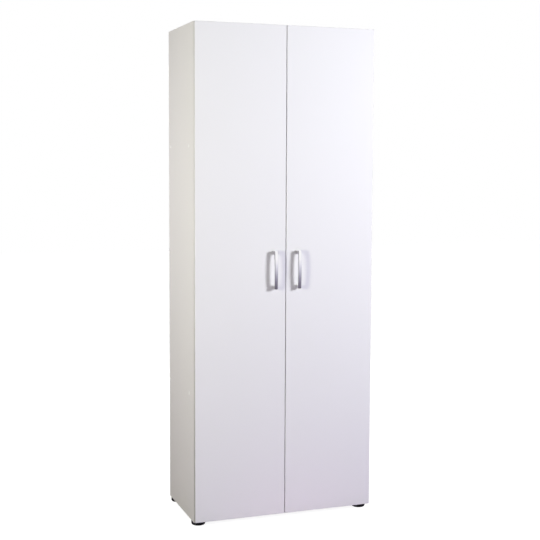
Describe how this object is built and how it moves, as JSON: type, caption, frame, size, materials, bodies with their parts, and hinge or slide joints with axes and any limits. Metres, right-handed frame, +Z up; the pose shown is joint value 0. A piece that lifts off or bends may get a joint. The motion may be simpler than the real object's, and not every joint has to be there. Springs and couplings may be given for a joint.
{
  "type": "broom cupboard",
  "caption": "Tall white cupboard with plain doors on concealed hinges, bow handles, low black feet, a shelf side and a broom space inside.",
  "frame": {"origin": "on the floor below the middle of the bounding box, handles included", "axes": "+Z up, -Y towards the front with the doors, +X to the right seen from the front"},
  "size_m": [0.703, 0.398, 1.841],
  "materials": {
    "door_board": "white melamine faced board, soft gloss",
    "carcass_board": "white melamine faced board, matt",
    "back_sheet": "white lacquered hardboard",
    "joint_strip": "white plastic profile",
    "screw_cap": "white plastic cap",
    "handle_metal": "polished nickel chrome",
    "hinge_nickel": "nickel plated pressed steel",
    "zinc_steel": "zinc plated steel",
    "cam_metal": "cast zinc alloy, dull",
    "dowel_wood": "raw beech",
    "foot_plastic": "black moulded plastic",
    "bumper": "soft pale rubber"
  },
  "bodies": {
    "carcass": {"side_left": "carcass_board", "side_right": "carcass_board", "top_panel": "carcass_board", "bottom_panel": "carcass_board", "upper_shelf": "carcass_board", "lower_shelf": "carcass_board", "partition": "carcass_board", "adjustable_shelf_lower": "carcass_board", "adjustable_shelf_upper": "carcass_board", "back_sheet_left": "back_sheet", "back_sheet_right": "back_sheet", "back_strip": "joint_strip", "back_nails": "zinc_steel", "board_screws": "zinc_steel", "screw_caps": "screw_cap", "cam_discs": "cam_metal", "cam_bolts": "zinc_steel", "dowels": "dowel_wood", "shelf_pins": "zinc_steel", "feet": "foot_plastic", "hinge_arms_left": "hinge_nickel", "hinge_arm_pins_left": "zinc_steel", "hinge_arm_screws_left": "zinc_steel", "hinge_plates_left": "hinge_nickel", "hinge_plate_screws_left": "zinc_steel", "hinge_arms_right": "hinge_nickel", "hinge_arm_pins_right": "zinc_steel", "hinge_arm_screws_right": "zinc_steel", "hinge_plates_right": "hinge_nickel", "hinge_plate_screws_right": "zinc_steel"},
    "outer_links_left": {"hinge_outer_links_left": "hinge_nickel"},
    "door_left": {"door_left": "door_board", "handle_left": "handle_metal", "handle_screws_left": "zinc_steel", "door_bumpers_left": "bumper", "hinge_cups_left": "hinge_nickel", "hinge_cup_screws_left": "zinc_steel", "hinge_cup_pins_left": "zinc_steel"},
    "inner_links_left": {"hinge_inner_links_left": "hinge_nickel"},
    "outer_links_right": {"hinge_outer_links_right": "hinge_nickel"},
    "door_right": {"door_right": "door_board", "handle_right": "handle_metal", "handle_screws_right": "zinc_steel", "door_bumpers_right": "bumper", "hinge_cups_right": "hinge_nickel", "hinge_cup_screws_right": "zinc_steel", "hinge_cup_pins_right": "zinc_steel"},
    "inner_links_right": {"hinge_inner_links_right": "hinge_nickel"}
  },
  "joints": [
    {"name": "outer_links_left_swing", "type": "hinge", "parent": "carcass", "child": "outer_links_left", "pos_m": [-0.3071, -0.1276, 0.93], "axis": [0, 0, -1], "range_deg": [-26.6, 0]},
    {"name": "door_left_swing", "type": "hinge", "parent": "outer_links_left", "child": "door_left", "pos_m": [-0.3386, -0.1554, 0.93], "axis": [0, 0, -1], "range_deg": [0, 121.6]},
    {"name": "inner_links_left_swing", "type": "hinge", "parent": "carcass", "child": "inner_links_left", "pos_m": [-0.3167, -0.158, 0.93], "axis": [0, 0, -1], "range_deg": [-38, 0]},
    {"name": "outer_links_right_swing", "type": "hinge", "parent": "carcass", "child": "outer_links_right", "pos_m": [0.3071, -0.1276, 0.93], "axis": [0, 0, 1], "range_deg": [-26.6, 0]},
    {"name": "door_right_swing", "type": "hinge", "parent": "outer_links_right", "child": "door_right", "pos_m": [0.3386, -0.1554, 0.93], "axis": [0, 0, 1], "range_deg": [0, 121.6]},
    {"name": "inner_links_right_swing", "type": "hinge", "parent": "carcass", "child": "inner_links_right", "pos_m": [0.3167, -0.158, 0.93], "axis": [0, 0, 1], "range_deg": [-38, 0]}
  ],
  "couplings": [
    {"joint": "outer_links_left_swing", "follows": "door_left_swing", "ratio": -0.21875},
    {"joint": "inner_links_left_swing", "follows": "door_left_swing", "ratio": -0.3125},
    {"joint": "outer_links_right_swing", "follows": "door_right_swing", "ratio": -0.21875},
    {"joint": "inner_links_right_swing", "follows": "door_right_swing", "ratio": -0.3125}
  ]
}
